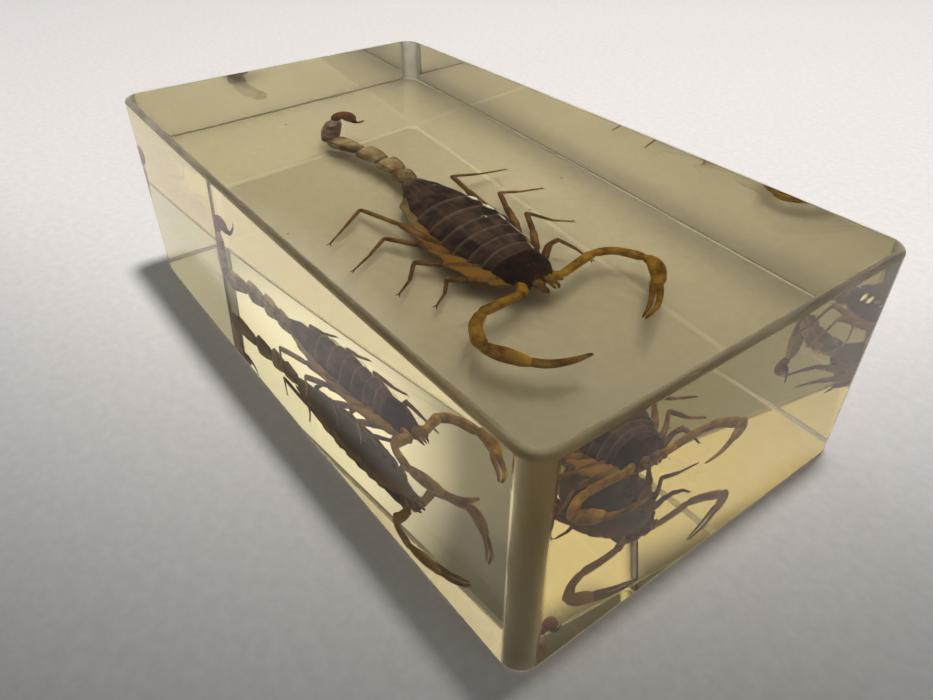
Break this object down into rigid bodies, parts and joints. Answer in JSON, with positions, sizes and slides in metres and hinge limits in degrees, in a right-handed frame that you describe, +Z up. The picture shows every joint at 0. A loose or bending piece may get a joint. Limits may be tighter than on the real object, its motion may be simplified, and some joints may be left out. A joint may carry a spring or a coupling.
{
  "type": "scorpion in resin block",
  "caption": "Clear, faintly yellow cast resin brick with rounded top edges and a flat base, made to hold a small dried scorpion lying near its base.",
  "frame": {"origin": "middle of the block's flat base", "axes": "+X along the long side, towards the end where the scorpion's head lies; +Y to the scorpion's left; +Z up, out of the base"},
  "size_m": [0.073, 0.041, 0.0224],
  "materials": {
    "clear_resin": "polished clear resin with a faint yellow tint",
    "dark_shell": "dark brown horny plates of the back and head, satin",
    "tail_shell": "olive brown tail segments and reddish sting, satin",
    "pincer_shell": "amber brown pincers and jaws, satin and a little translucent",
    "leg_shell": "thin amber brown legs, a little translucent",
    "belly_shell": "mottled pale brown underside, matt",
    "trapped_air": "thin silvery films and bubbles of air"
  },
  "bodies": {
    "root": {"resin_block": "clear_resin"}
  },
  "joints": []
}
